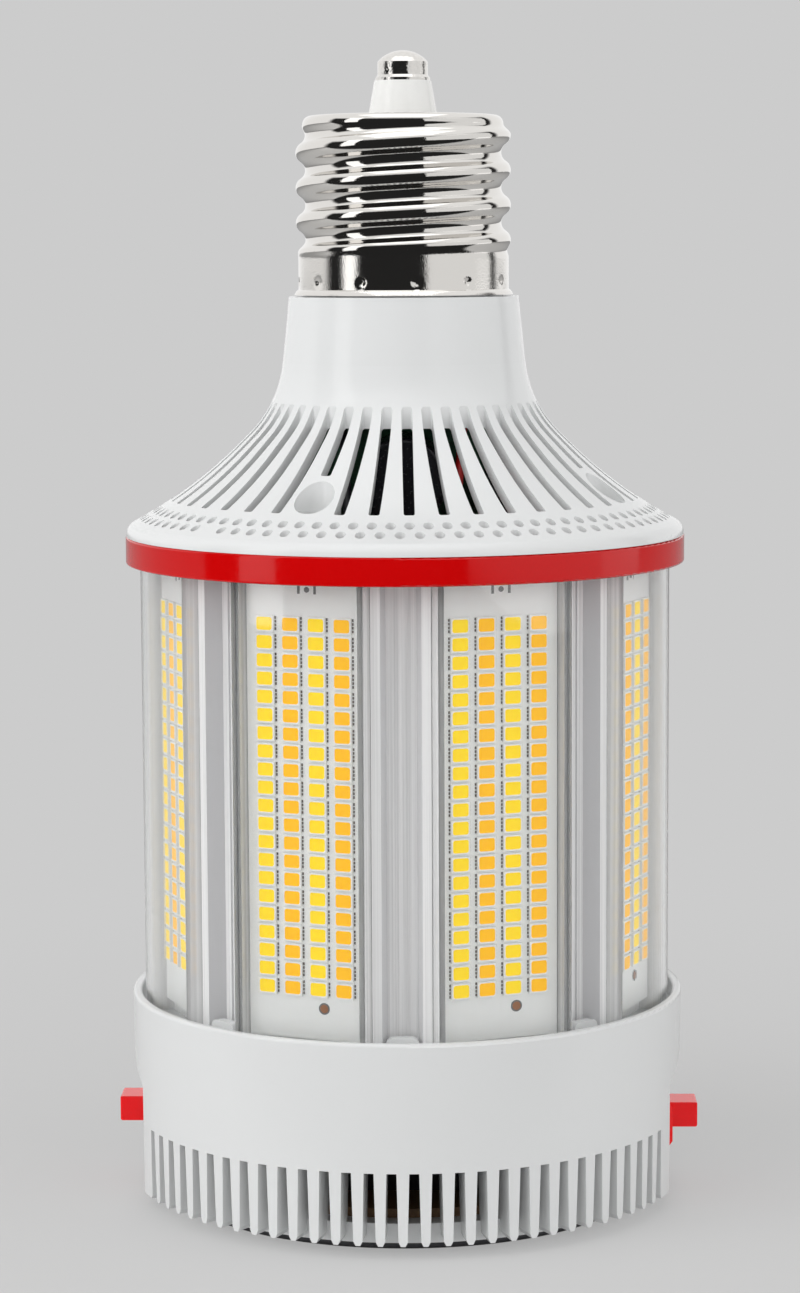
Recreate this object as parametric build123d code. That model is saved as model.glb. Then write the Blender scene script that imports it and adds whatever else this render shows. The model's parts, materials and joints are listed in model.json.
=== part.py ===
from build123d import *
from math import radians, sqrt, tan
import os

# LED retrofit bulb with a mogul screw base, in millimetres, +Z up.
# It stands base up on its end plate. The origin is the middle of that plate's lower face.
# The front faces -Y. Azimuth 0 is the front, and it grows towards +X.

# Clearances
running_clearance = 0.05
sliding_clearance = 0.15
assembly_clearance = 0.2

# Heat sink, an extruded octagon with a channel along each side and a board's pocket at each corner
panel_count = 8
lip_distance = 46.0
heat_sink_length = 87.2
seat_depth = 3.8
seat_margin = 6.48
sink_wall = 3.6
fin_count = 24
fin_depth = 11.0
fin_thickness = 1.4
channel_mouth = 7.16
channel_floor_width = 5.4
channel_depth = 3.4
channel_step_width = 2.44
channel_step_depth = 0.4
screw_port_radius = 2.6
screw_port_cover = 0.1
well_count = 4
first_well_azimuth = -22.5

# LED boards and packages
board_thickness = 1.6
led_board_bottom_gap = 2.5
led_board_top_gap = 0.7
led_columns = 4
led_rows = 21
led_edge = 3.64
led_first_row = 10.5
led_last_row = 9.1
led_width = 3.5
led_length = 2.8
led_height = 0.67

# Clear covers
cover_rise = 3.0
cover_wall = 1.2
cover_side_wall = 1.4
cover_hook = 0.7
cover_hook_height = 0.8
cover_hook_rise = 0.8
cover_end_gap = 0.2

# Lower collar
shelf_height = 35.0
shelf_thickness = 2.0
shelf_reach = 5.0
collar_bottom = 2.6
collar_margin = 2.4
collar_taper = 0.6
collar_lip = 3.8
collar_wall = 1.8
rim_rounding = 0.6
slat_depth = 5.5
slat_bridge = 1.8
vent_count = 80
vent_top = 15.7
vent_top_width = 1.75
vent_bottom_width = 2.35
slat_end_height = 0.8
slat_end_width = 0.8
vent_free_angle = 22.5
tab_width = 6.0
tab_height = 3.7
tab_thickness = 1.7
tab_rounding = 1.3

# End plate and the ring in the collar that carries it
ring_lap = 0.7
ring_width = 5.4
ring_height = 3.5
end_plate_setback = 2.5
end_plate_thickness = 1.9
end_plate_edge = 0.6
spigot_height = 1.8
spigot_wall = 2.0

# Flats on both sides of the collar, and the selectors on them
flat_setback = 2.3
flat_height = 22.8
flat_ramp_height = 4.1
selector_step = 2.4
selector_steps = 2
stem_height = 13.4
stem_wall = 0.8
knob_width = 6.6
knob_drop = 1.0
knob_height = 4.65
knob_proud = 5.8
knob_rounding = 0.4
skirt_drop = 4.3
skirt_height = 7.8
skirt_thickness = 1.0
skirt_overhang = 1.0
skirt_chamfer = 0.6

# Slide switches
slider_width = 2.0
slider_inner_width = 3.2
slider_inner_depth = 1.2
slider_reach = 1.5
switch_setback = 6.5
switch_depth = 6.2
switch_width = 12.0
switch_wall = 1.0

# Selector circuit board and fan
control_board_setback = 3.8
control_board_lap = 1.0
fan_overlap = 2.58
fan_height = 15.0
fan_corner_radius = 5.0
fan_wall = 2.0
fan_screw_inset = 5.0
fan_screw_radius = 1.6
fan_screw_bite = 2.6
fan_strut_width = 3.0
fan_strut_height = 2.0
fan_strut_count = 4
motor_base_radius = 12.0
bearing_radius = 3.5
bearing_height = 8.0
shaft_radius = 1.5
hub_radius = 13.0
hub_wall = 1.5
hub_height = 11.0
rotor_gap = 0.6
blade_count = 7
blade_thickness = 1.2
blade_chord = 12.0
blade_pitch = 40.0

# Trim ring
trim_margin = 2.6
trim_drop = 3.7
trim_flange = 1.4
trim_lap = 0.8
trim_rounding = 0.4

# Screw base
thread_radius = 19.7
thread_depth = 1.75
skirt_step = 0.4
skirt_length = 8.0
shell_wall = 0.6
shell_rim_flare = 0.8
shell_rim_height = 0.9
shell_gap = 0.3
shell_height = 32.5
shell_edge = 1.6
insulator_bottom_radius = 6.3
insulator_top_radius = 5.2
insulator_height = 6.3
insulator_flange_radius = 9.0
insulator_flange_height = 2.4
contact_radius = 4.6
contact_rim_radius = 5.0
contact_rim_height = 0.5
contact_height = 4.7
contact_edge = 2.2
solder_radius = 3.0
solder_height = 0.8
rivet_radius = 1.5

# Upper housing, a trumpet that bends a little half-way down its flare
housing_height = 43.6
housing_wall = 2.0
rim_setback = 0.1
housing_rim_height = 1.6
rim_fillet = 2.4
flare_bend_across = 0.528
flare_bend_up = 0.338
flare_bend_radius = 80.0
waist_height = 24.1
waist_fillet = 21.0
neck_margin = 1.0
neck_taper = 2.0
crimp_spigot_wall = 2.0
slot_count = 44
slot_width = 1.95
slot_corner = 0.4
slot_waist_gap = 1.3
slot_rim_gap = 8.4
short_slot_gap = 4.6
vent_hole_count = 88
vent_hole_radius = 0.9
vent_hole_rim_gaps = (5.8, 3.4)
closed_hole = (1, 82)
well_radius = 3.55
well_wall = 1.1
well_floor = 6.6
head_recess_radius = 3.1
head_recess_depth = 3.4

# Screws
screw_radius = 1.7
screw_head_radius = 2.8
screw_head_height = 2.2
screw_bite = 9.0

# Driver
bracket_end_gap = 1.6
bracket_width = 12.0
bracket_height = 4.0
groove_depth = 2.0
driver_margin = 10.6
driver_shoulder = 12.0
driver_neck_margin = 5.6
driver_neck_start = 25.0
driver_top_gap = 1.0
capacitor_radius = 8.0
capacitor_length = 22.0
capacitor_edge = 1.0
small_capacitor_radius = 5.5
small_capacitor_length = 16.0
small_capacitor_offset = 19.0
transformer_width = 24.0
transformer_height = 15.0
transformer_depth = 17.0
winding_inset = 5.0
winding_bulge = 1.5
choke_radius = 8.0
choke_hole_radius = 3.0
choke_thickness = 8.0
choke_gap = 1.0
filter_width = 15.0
filter_height = 12.0
filter_depth = 8.0
filter_gap = 5.0
lead_radius = 0.8

# Levels that follow from the sizes above
ring_top = end_plate_thickness + ring_height
control_board_top = ring_top + board_thickness
fan_bottom = control_board_top
fan_top = fan_bottom + fan_height
hub_bottom = fan_bottom + fan_strut_height + rotor_gap
collar_rim_height = shelf_height + collar_lip
slat_zone_top = vent_top + slat_bridge
knob_bottom = stem_height - knob_drop
skirt_bottom = stem_height - skirt_drop
heat_sink_top = shelf_height + heat_sink_length
board_bottom = shelf_height + led_board_bottom_gap
board_top = heat_sink_top - led_board_top_gap
housing_bottom = heat_sink_top + trim_flange
neck_top = housing_bottom + housing_height
well_floor_level = housing_bottom + well_floor
shell_bottom = neck_top + shell_gap
shell_top = shell_bottom + shell_height
contact_bottom = shell_top + insulator_height
bracket_top = heat_sink_top + bracket_height
driver_bottom = bracket_top - groove_depth
driver_top = neck_top - driver_top_gap

# Distances from the axis, and widths, that follow from the sizes above
panel_angle = 360 / panel_count
seat_distance = lip_distance - seat_depth
bore_radius = seat_distance - sink_wall
channel_floor = lip_distance - channel_depth
screw_circle_radius = seat_distance - screw_port_radius - screw_port_cover
board_face = seat_distance + board_thickness
board_half = board_thickness / 2
led_board_width = 2 * (seat_distance * tan(radians(panel_angle / 2)) - seat_margin)
led_column_pitch = (led_board_width - 2 * led_edge) / (led_columns - 1)
led_row_pitch = (board_top - board_bottom - led_first_row - led_last_row) / (led_rows - 1)
cover_radius = lip_distance + cover_rise
cover_inner_half = led_board_width / 2 + assembly_clearance
cover_outer_half = cover_inner_half + cover_side_wall
pocket_half = cover_outer_half + sliding_clearance
collar_rim_radius = cover_radius + collar_margin
collar_bottom_radius = collar_rim_radius - collar_taper
grille_inner_radius = collar_bottom_radius - slat_depth
shelf_inner_radius = screw_circle_radius - shelf_reach
ring_outer_radius = grille_inner_radius + ring_lap
ring_inner_radius = ring_outer_radius - ring_width
end_plate_radius = ring_outer_radius - end_plate_setback
flat_distance = collar_bottom_radius - flat_setback
switch_front = flat_distance - switch_setback
knob_reach = flat_distance + knob_proud
selector_travel = selector_step * selector_steps
stem_width = slider_width + 2 * (stem_wall + running_clearance)
fan_width = sqrt(2) * ring_inner_radius + fan_overlap
fan_bore_radius = fan_width / 2 - fan_wall
fan_screw_pitch = fan_width - 2 * fan_screw_inset
control_board_radius = ring_outer_radius - control_board_setback
control_board_opening = fan_bore_radius - control_board_lap
trim_radius = cover_radius + trim_margin
trim_flange_inner_radius = lip_distance - trim_lap
skirt_radius = thread_radius - skirt_step
thread_root_radius = thread_radius - thread_depth
shell_rim_radius = skirt_radius + shell_rim_flare
housing_rim_radius = trim_radius - rim_setback
neck_radius = shell_rim_radius + neck_margin
waist_radius = neck_radius + neck_taper
slot_inner_radius = waist_radius + slot_waist_gap
slot_outer_radius = housing_rim_radius - slot_rim_gap
short_slot_outer_radius = screw_circle_radius - short_slot_gap
bracket_length = 2 * (bore_radius - bracket_end_gap)
driver_half_width = bore_radius - driver_margin
driver_neck_half_width = neck_radius - driver_neck_margin

RISING = (Align.CENTER, Align.CENTER, Align.MIN)


def turned(*corners):
    """A solid of revolution about the lamp's axis from (radius, height) corners."""
    outline = Polyline(*[(radius, 0, height) for radius, height in corners], close=True)
    return revolve(make_face(outline), Axis.Z)


def rod(radius, bottom, top):
    """A round bar on the lamp's axis between two levels."""
    return Pos(0, 0, bottom) * Cylinder(radius, top - bottom, align=RISING)


def sleeve(inner, outer, bottom, top):
    """A plain tube on the lamp's axis between two levels."""
    return rod(outer, bottom, top) - rod(inner, bottom, top)


def block(x, y, z):
    """A box given by its two ends along each axis."""
    size = Box(x[1] - x[0], y[1] - y[0], z[1] - z[0])
    return Pos((x[0] + x[1]) / 2, (y[0] + y[1]) / 2, (z[0] + z[1]) / 2) * size


def at_azimuth(azimuth, piece):
    """Turns a piece made at the front to another azimuth."""
    return Rot(0, 0, azimuth) * piece


def on_screw_circle(piece):
    """Copies a piece made on the axis to the four screw places of the heat sink."""
    places = [first_well_azimuth + 360 / well_count * index for index in range(well_count)]
    return [at_azimuth(azimuth, Pos(0, -screw_circle_radius, 0) * piece) for azimuth in places]


def channel_azimuths():
    return [panel_angle * index for index in range(panel_count)]


def panel_azimuths():
    return [panel_angle * (index + 0.5) for index in range(panel_count)]


# Base


def centre_contact():
    crown = contact_bottom + contact_height
    button = turned(
        (0, contact_bottom),
        (contact_rim_radius, contact_bottom),
        (contact_rim_radius, contact_bottom + contact_rim_height),
        (contact_radius, contact_bottom + 2 * contact_rim_height),
        (contact_radius, crown),
        (0, crown),
    )
    top_edge = button.edges().filter_by(GeomType.CIRCLE).sort_by(Axis.Z)[-1]
    button = fillet(top_edge, contact_edge)
    ball_radius = (solder_radius**2 + solder_height**2) / (2 * solder_height)
    blob = Pos(0, 0, crown + solder_height - ball_radius) * Sphere(ball_radius)
    blob &= rod(contact_radius, crown - contact_edge, crown + ball_radius)
    rivet = rod(rivet_radius, shell_top - insulator_flange_height - shell_wall, contact_bottom)
    return button + blob + rivet


def base_insulator():
    flange_top = shell_top - shell_wall
    flange_bottom = flange_top - insulator_flange_height
    cone = turned(
        (0, flange_bottom),
        (insulator_flange_radius, flange_bottom),
        (insulator_flange_radius, flange_top),
        (insulator_bottom_radius, flange_top),
        (insulator_bottom_radius, shell_top),
        (insulator_top_radius, contact_bottom),
        (0, contact_bottom),
    )
    return cone - rod(rivet_radius, flange_bottom, contact_bottom)


def shell_cavity_levels():
    """The levels between which the shell's inside narrows from the skirt to the thread."""
    narrow = shell_bottom + skirt_length - thread_radius + thread_root_radius
    return narrow - skirt_radius + thread_root_radius, narrow


def screw_shell():
    """The shell up to its thread's crests, hollow up to the thread's root."""
    skirt_top = shell_bottom + skirt_length
    wide, narrow = shell_cavity_levels()
    hole = insulator_bottom_radius + running_clearance
    return turned(
        (shell_rim_radius, shell_bottom),
        (shell_rim_radius, shell_bottom + shell_rim_height / 2),
        (skirt_radius, shell_bottom + shell_rim_height),
        (skirt_radius, skirt_top),
        (thread_radius, skirt_top + thread_radius - skirt_radius),
        (thread_radius, shell_top - 2 * shell_edge),
        (thread_root_radius, shell_top - shell_edge / 2),
        (thread_root_radius - shell_edge / 2, shell_top),
        (hole, shell_top),
        (hole, shell_top - shell_wall),
        (thread_root_radius - shell_wall, shell_top - shell_wall),
        (thread_root_radius - shell_wall, narrow),
        (skirt_radius - shell_wall, wide),
        (skirt_radius - shell_wall, shell_bottom),
    )


# Upper housing


def trumpet(inset, top):
    """The solid inside the trumpet's outer face by an inset, up to a height."""
    across = flare_bend_across * (housing_rim_radius - waist_radius)
    rise = flare_bend_up * (waist_height - housing_rim_height)
    beyond = -2 * housing_wall
    flare = FilletPolyline(
        (housing_rim_radius, beyond),
        (housing_rim_radius, housing_rim_height),
        (waist_radius + across, housing_rim_height + rise),
        (waist_radius, waist_height),
        (neck_radius, housing_height),
        radius=[rim_fillet, flare_bend_radius, waist_fillet],
    )
    rest = Polyline(
        (neck_radius, housing_height),
        (beyond, housing_height),
        (beyond, beyond),
        (housing_rim_radius, beyond),
    )
    section = make_face(flare + rest)
    if inset > 0:
        section = offset(section, -inset, kind=Kind.INTERSECTION)
    section &= Rectangle(housing_rim_radius, top, align=Align.MIN)
    return revolve(Plane.XZ * Pos(0, housing_bottom) * section, Axis.Z)


def vent_slot(outer_radius):
    """A radial slot at the front, cut straight along the lamp's axis."""
    middle = (slot_inner_radius + outer_radius) / 2
    length = outer_radius - slot_inner_radius
    outline = Pos(0, -middle) * RectangleRounded(slot_width, length, slot_corner)
    return Pos(0, 0, housing_bottom) * extrude(outline, housing_height)


def vent_holes():
    """Two rows of small round holes near the rim. One hole of the outer row is closed."""
    pitch = 360 / vent_hole_count
    holes = []
    for row, gap in enumerate(vent_hole_rim_gaps):
        hole = Pos(0, gap - housing_rim_radius, 0) * rod(vent_hole_radius, housing_bottom, neck_top)
        for index in range(vent_hole_count):
            if (row, index) != closed_hole:
                holes.append(at_azimuth(first_well_azimuth + pitch * (index + row / 2), hole))
    return holes


def upper_housing():
    outer = trumpet(0, housing_height)
    cavity = trumpet(housing_wall, housing_height - housing_wall)
    spigot_radius = skirt_radius - shell_wall - assembly_clearance
    spigot_top = shell_cavity_levels()[0] - assembly_clearance
    post = rod(well_radius + well_wall, heat_sink_top, neck_top)
    ceiling = rod(housing_rim_radius, heat_sink_top, housing_bottom)
    shell = outer - cavity
    for boss in on_screw_circle(post):
        shell += boss & (outer + ceiling)
    shell += rod(spigot_radius, neck_top - housing_wall, spigot_top)
    shell -= rod(spigot_radius - crimp_spigot_wall, neck_top - 2 * housing_wall, spigot_top)
    pitch = 360 / slot_count
    every = slot_count // well_count
    slots = []
    for index in range(slot_count):
        ends_at_well = index % every == 0
        slot = vent_slot(short_slot_outer_radius if ends_at_well else slot_outer_radius)
        slots.append(at_azimuth(first_well_azimuth + pitch * index, slot))
    shell -= slots
    shell -= vent_holes()
    shell -= on_screw_circle(rod(well_radius, well_floor_level, neck_top))
    shell -= on_screw_circle(rod(head_recess_radius, well_floor_level - head_recess_depth, well_floor_level))
    shell -= on_screw_circle(rod(screw_radius + assembly_clearance, heat_sink_top, well_floor_level))
    return shell


def pan_screw(seat, tip):
    """A screw on the axis whose head lies on a seat and whose shank ends at a tip level."""
    away = 1 if seat > tip else -1
    head_end = seat + away * screw_head_height
    head = rod(screw_head_radius, min(seat, head_end), max(seat, head_end))
    return head + rod(screw_radius, min(seat, tip), max(seat, tip))


def housing_screws():
    seat = well_floor_level - head_recess_depth
    return Compound(children=on_screw_circle(pan_screw(seat, heat_sink_top - screw_bite)))


def trim_ring():
    bottom = heat_sink_top - trim_drop
    inner = cover_radius + 2 * sliding_clearance
    ring = turned(
        (inner, bottom),
        (trim_radius, bottom),
        (trim_radius, housing_bottom),
        (trim_flange_inner_radius, housing_bottom),
        (trim_flange_inner_radius, heat_sink_top),
        (inner, heat_sink_top),
    )
    outer_edges = ring.edges().filter_by(GeomType.CIRCLE).group_by(SortBy.RADIUS)[-1]
    return fillet(outer_edges, trim_rounding)


# Lit body


def channel_outline():
    """The groove between two covers, its sides carried on past its mouth."""
    half = channel_floor_width / 2
    beyond = lip_distance + channel_depth
    wide = channel_mouth - half
    step = channel_step_width / 2
    deep = channel_floor - channel_step_depth
    right = [(half, -channel_floor), (step, -channel_floor), (step, -deep)]
    left = [(-x, y) for x, y in reversed(right)]
    return make_face(Polyline((wide, -beyond), *right, *left, (-wide, -beyond), close=True))


def cover_pocket():
    """The recess that a board and its cover stand in, with the grooves for the cover's hooks."""
    depth = lip_distance
    floor = Pos(0, -(seat_distance + depth / 2)) * Rectangle(2 * pocket_half, depth)
    hook_height = cover_hook_height + 2 * sliding_clearance
    hook_middle = seat_distance + cover_hook_rise + cover_hook_height / 2
    grooves = Rectangle(2 * (pocket_half + cover_hook), hook_height)
    return floor + Pos(0, -hook_middle) * grooves


def heat_sink():
    section = RegularPolygon(lip_distance, panel_count, major_radius=False, rotation=panel_angle / 2)
    section -= [at_azimuth(azimuth, cover_pocket()) for azimuth in panel_azimuths()]
    section -= [at_azimuth(azimuth, channel_outline()) for azimuth in channel_azimuths()]
    section -= Circle(bore_radius)
    fin_middle = bore_radius - fin_depth / 2 + fin_thickness / 2
    fin = Pos(0, -fin_middle) * Rectangle(fin_thickness, fin_depth + fin_thickness)
    fin_pitch = 360 / fin_count
    section += [at_azimuth(fin_pitch * (index + 0.5), fin) for index in range(fin_count)]
    section += on_screw_circle(Circle(screw_port_radius))
    section -= on_screw_circle(Circle(screw_radius + running_clearance))
    return Pos(0, 0, shelf_height) * extrude(section, heat_sink_length)


def led_board():
    half = led_board_width / 2
    return block((-half, half), (-board_face, -seat_distance), (board_bottom, board_top))


def led_packages():
    """The packages on the front board, in columns and rows."""
    package = Box(led_width, led_height, led_length)
    first_column = -(led_columns - 1) / 2
    middle = -(board_face + led_height / 2)
    packages = []
    for column in range(led_columns):
        across = (first_column + column) * led_column_pitch
        for row in range(led_rows):
            level = board_top - led_first_row - row * led_row_pitch
            packages.append(Pos(across, middle, level) * package)
    return packages


def lens_cover():
    arch = Circle(cover_radius) - Circle(cover_radius - cover_wall)
    arch &= Pos(0, -cover_radius) * Rectangle(2 * cover_outer_half, cover_radius)
    foot = seat_distance + running_clearance
    spring = sqrt((cover_radius - cover_wall / 2) ** 2 - cover_outer_half**2)
    wall_middle = cover_outer_half - cover_side_wall / 2
    wall = Pos(0, -(foot + spring) / 2) * Rectangle(cover_side_wall, spring - foot)
    hook_middle = seat_distance + cover_hook_rise + cover_hook_height / 2
    hook = Pos(cover_hook / 2, -hook_middle) * Rectangle(cover_side_wall + cover_hook, cover_hook_height)
    right = Pos(wall_middle, 0) * (wall + hook)
    section = arch + right + mirror(right, Plane.YZ)
    length = heat_sink_length - 2 * cover_end_gap
    return Pos(0, 0, shelf_height + cover_end_gap) * extrude(section, length)


# Lower collar and what it holds


def vent_gap():
    """The gap between two slats at the front, widest round their lower ends."""
    top = vent_top_width / 2
    low = vent_bottom_width / 2
    level = collar_bottom + slat_end_height
    right = [(top, vent_top), (low, level), (low + slat_end_width / 2, collar_bottom)]
    right.append((low + slat_end_width / 2, 0))
    left = [(-x, z) for x, z in reversed(right)]
    outline = Plane.XZ * make_face(Polyline(*right, *left, close=True))
    return extrude(outline, collar_rim_radius) - rod(grille_inner_radius - slat_depth, 0, vent_top)


def flat_backing():
    """The thicker wall inside the collar behind the flat on the right side."""
    level = (slat_zone_top, flat_height + flat_ramp_height)
    across = (-collar_rim_radius, collar_rim_radius)
    slab = block((flat_distance - collar_wall, collar_rim_radius), across, level)
    return slab & rod(collar_bottom_radius, *level)


def flat_cut():
    """What is cut away to leave the flat on the right side and the slope above it."""
    ramp_top = flat_height + flat_ramp_height
    outer = 2 * collar_rim_radius
    outline = Polyline(
        (flat_distance, 0),
        (flat_distance, flat_height),
        (collar_rim_radius, ramp_top),
        (outer, ramp_top),
        (outer, 0),
        close=True,
    )
    face = Plane.XZ * make_face(outline)
    return extrude(face, collar_rim_radius, both=True)


def stem_window():
    """The window in the right flat that the knob's stem slides along."""
    half_length = (selector_travel + stem_width) / 2 + assembly_clearance
    half_height = stem_width / 2 + assembly_clearance
    level = (stem_height - half_height, stem_height + half_height)
    return block((grille_inner_radius - slat_depth, collar_rim_radius), (-half_length, half_length), level)


def key_tab():
    """The upright on the collar's shelf that stands in the mouth of a channel."""
    outline = Rectangle(tab_width, tab_height, align=(Align.CENTER, Align.MIN))
    outline = fillet(outline.vertices().group_by(Axis.Y)[-1], tab_rounding)
    front = Plane.XZ.offset(lip_distance) * Pos(0, shelf_height) * outline
    return extrude(front, -tab_thickness)


def collar_inside(level):
    """The radius inside the collar's wall at a level. The collar widens towards its rim."""
    draft = collar_taper / (collar_rim_height - collar_bottom)
    return collar_bottom_radius + draft * (level - collar_bottom) - collar_wall


def lower_collar():
    shelf_bottom = shelf_height - shelf_thickness
    rim_inner = collar_rim_radius - collar_wall
    collar = turned(
        (collar_bottom_radius, collar_bottom),
        (collar_rim_radius, collar_rim_height),
        (rim_inner, collar_rim_height),
        (rim_inner, shelf_height),
        (shelf_inner_radius, shelf_height),
        (shelf_inner_radius, shelf_bottom),
        (collar_inside(shelf_bottom), shelf_bottom),
        (collar_inside(slat_zone_top), slat_zone_top),
        (grille_inner_radius, slat_zone_top),
        (grille_inner_radius, collar_bottom),
    )
    rim = collar.edges().filter_by(GeomType.CIRCLE).group_by(Axis.Z)[-1]
    collar = fillet(rim, rim_rounding)
    gap = vent_gap()
    azimuths = [360 / vent_count * (index + 0.5) for index in range(vent_count)]
    collar -= [at_azimuth(a, gap) for a in azimuths if abs(a % 180 - 90) > vent_free_angle]
    collar += sleeve(ring_inner_radius, ring_outer_radius, end_plate_thickness, ring_top)
    for turn in (0, 180):
        collar += at_azimuth(turn, flat_backing())
        collar -= at_azimuth(turn, flat_cut())
        collar -= at_azimuth(turn, stem_window())
    for azimuth in channel_azimuths():
        collar += at_azimuth(azimuth, key_tab())
    return collar - on_screw_circle(rod(screw_radius + assembly_clearance, shelf_bottom, shelf_height))


def collar_screws():
    seat = shelf_height - shelf_thickness
    return Compound(children=on_screw_circle(pan_screw(seat, shelf_height + screw_bite)))


def fan_screw_places():
    return GridLocations(fan_screw_pitch, fan_screw_pitch, 2, 2)


def end_plate():
    spigot_radius_below = ring_inner_radius - running_clearance
    edge = end_plate_thickness - end_plate_edge
    plate = turned(
        (0, 0),
        (end_plate_radius - end_plate_edge, 0),
        (end_plate_radius, end_plate_edge),
        (end_plate_radius, end_plate_thickness),
        (spigot_radius_below, end_plate_thickness),
        (spigot_radius_below, end_plate_thickness + spigot_height),
        (spigot_radius_below - spigot_wall, end_plate_thickness + spigot_height),
        (spigot_radius_below - spigot_wall, end_plate_thickness),
        (0, end_plate_thickness),
    )
    boss = rod(fan_screw_radius + spigot_wall, edge, ring_top)
    plate += [place * boss for place in fan_screw_places()]
    hole = rod(fan_screw_radius, ring_top - fan_screw_bite, ring_top)
    return plate - [place * hole for place in fan_screw_places()]


def control_board():
    board = sleeve(control_board_opening, control_board_radius, ring_top, control_board_top)
    hole = rod(fan_screw_radius + assembly_clearance, ring_top, control_board_top)
    return board - [place * hole for place in fan_screw_places()]


def fan_frame():
    outline = RectangleRounded(fan_width, fan_width, fan_corner_radius) - Circle(fan_bore_radius)
    outline -= [place * Circle(fan_screw_radius + assembly_clearance) for place in fan_screw_places()]
    frame = Pos(0, 0, fan_bottom) * extrude(outline, fan_height)
    strut_top = fan_bottom + fan_strut_height
    half = fan_strut_width / 2
    for index in range(fan_strut_count):
        strut = block((-half, half), (-fan_bore_radius - half, 0), (fan_bottom, strut_top))
        frame += at_azimuth(360 / fan_strut_count * index, strut)
    frame += rod(motor_base_radius, fan_bottom, strut_top)
    frame += rod(bearing_radius, fan_bottom, strut_top + bearing_height)
    return frame - rod(shaft_radius + running_clearance, fan_bottom, strut_top + bearing_height)


def fan_rotor():
    hub_top = hub_bottom + hub_height
    hub = rod(hub_radius, hub_bottom, hub_top) - rod(hub_radius - hub_wall, hub_bottom, hub_top - hub_wall)
    hub += rod(shaft_radius, fan_bottom + fan_strut_height / 2, hub_top)
    sweep_radius = fan_bore_radius - rotor_gap
    middle = (hub_bottom + hub_top) / 2
    root = hub_radius - hub_wall / 2
    reach = sweep_radius + rotor_gap - root
    blade = Rot(0, blade_pitch, 0) * Box(blade_chord, reach, blade_thickness)
    blade = Pos(0, -(root + reach / 2), middle) * blade
    blade &= sleeve(root, sweep_radius, hub_bottom, hub_top)
    for index in range(blade_count):
        hub += at_azimuth(360 / blade_count * index, blade)
    return hub


def fan_screws():
    tip = ring_top - fan_screw_bite
    head = Pos(0, 0, fan_top) * Cylinder(screw_head_radius, screw_head_height, align=RISING)
    screw = head + rod(fan_screw_radius, tip, fan_top)
    return Compound(children=[place * screw for place in fan_screw_places()])


def selector_switch():
    """The slide switch on the right side, with the gap that its slider runs in."""
    half = switch_width / 2
    top = stem_height + slider_inner_width / 2 + switch_wall
    body = block((switch_front - switch_depth, switch_front), (-half, half), (control_board_top, top))
    travel = (selector_travel + slider_inner_width) / 2 + sliding_clearance
    rise = slider_inner_width / 2 + sliding_clearance
    back = switch_front - switch_wall - slider_inner_depth - 2 * sliding_clearance
    level = (stem_height - rise, stem_height + rise)
    body -= block((back, switch_front - switch_wall), (-travel, travel), level)
    mouth = (selector_travel + slider_width) / 2 + sliding_clearance
    lift = slider_width / 2 + sliding_clearance
    level = (stem_height - lift, stem_height + lift)
    return body - block((back, switch_front), (-mouth, mouth), level)


def at_first_step(piece):
    """Moves a selector's piece from the middle of its travel to the end where it rests."""
    return Pos(0, -selector_travel / 2, 0) * piece


def switch_slider():
    half = slider_width / 2
    inner_half = slider_inner_width / 2
    inner_front = switch_front - switch_wall - sliding_clearance
    back = inner_front - slider_inner_depth
    level = (stem_height - inner_half, stem_height + inner_half)
    plate = block((back, inner_front), (-inner_half, inner_half), level)
    level = (stem_height - half, stem_height + half)
    return at_first_step(plate + block((back, switch_front + slider_reach), (-half, half), level))


def selector_knob():
    skirt_back = flat_distance + sliding_clearance
    skirt_front = skirt_back + skirt_thickness
    half = knob_width / 2
    grip = block((skirt_back, knob_reach), (-half, half), (knob_bottom, knob_bottom + knob_height))
    outer_edges = grip.edges().group_by(Axis.X)[-1]
    grip = fillet(outer_edges, knob_rounding)
    skirt_half = half + skirt_overhang
    level = (skirt_bottom, skirt_bottom + skirt_height)
    skirt = block((skirt_back, skirt_front), (-skirt_half, skirt_half), level)
    skirt = chamfer(skirt.edges().group_by(Axis.X)[-1], skirt_chamfer)
    stem_half = stem_width / 2
    stem_end = switch_front + assembly_clearance
    level = (stem_height - stem_half, stem_height + stem_half)
    stem = block((stem_end, skirt_front), (-stem_half, stem_half), level)
    socket_half = slider_width / 2 + running_clearance
    socket_end = switch_front + slider_reach + sliding_clearance
    level = (stem_height - socket_half, stem_height + socket_half)
    socket = block((stem_end, socket_end), (-socket_half, socket_half), level)
    return at_first_step(grip + skirt + stem - socket)


# Driver in the upper housing


def driver_bracket():
    half = bracket_length / 2
    bar = block((-half, half), (-bracket_width / 2, bracket_width / 2), (heat_sink_top, bracket_top))
    groove = board_half + running_clearance
    reach = driver_half_width + running_clearance
    return bar - block((-reach, reach), (-groove, groove), (driver_bottom, bracket_top))


def driver_board():
    right = [
        (driver_half_width, driver_bottom),
        (driver_half_width, driver_bottom + driver_shoulder),
        (driver_neck_half_width, driver_bottom + driver_neck_start),
        (driver_neck_half_width, driver_top),
    ]
    left = [(-x, z) for x, z in reversed(right)]
    face = Plane.XZ * make_face(Polyline(*right, *left, close=True))
    return extrude(face, board_half, both=True)


def standing_can(radius, length, across):
    """A capacitor that stands on the board's front face just above the bracket."""
    level = bracket_top + radius + assembly_clearance
    face = Plane((across, -board_half, level), x_dir=(1, 0, 0), z_dir=(0, -1, 0))
    can = face * Cylinder(radius, length, align=RISING)
    far_edge = can.edges().filter_by(GeomType.CIRCLE).sort_by(Axis.Y)[0]
    return fillet(far_edge, capacitor_edge)


def bulk_capacitor():
    return standing_can(capacitor_radius, capacitor_length, 0)


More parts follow.
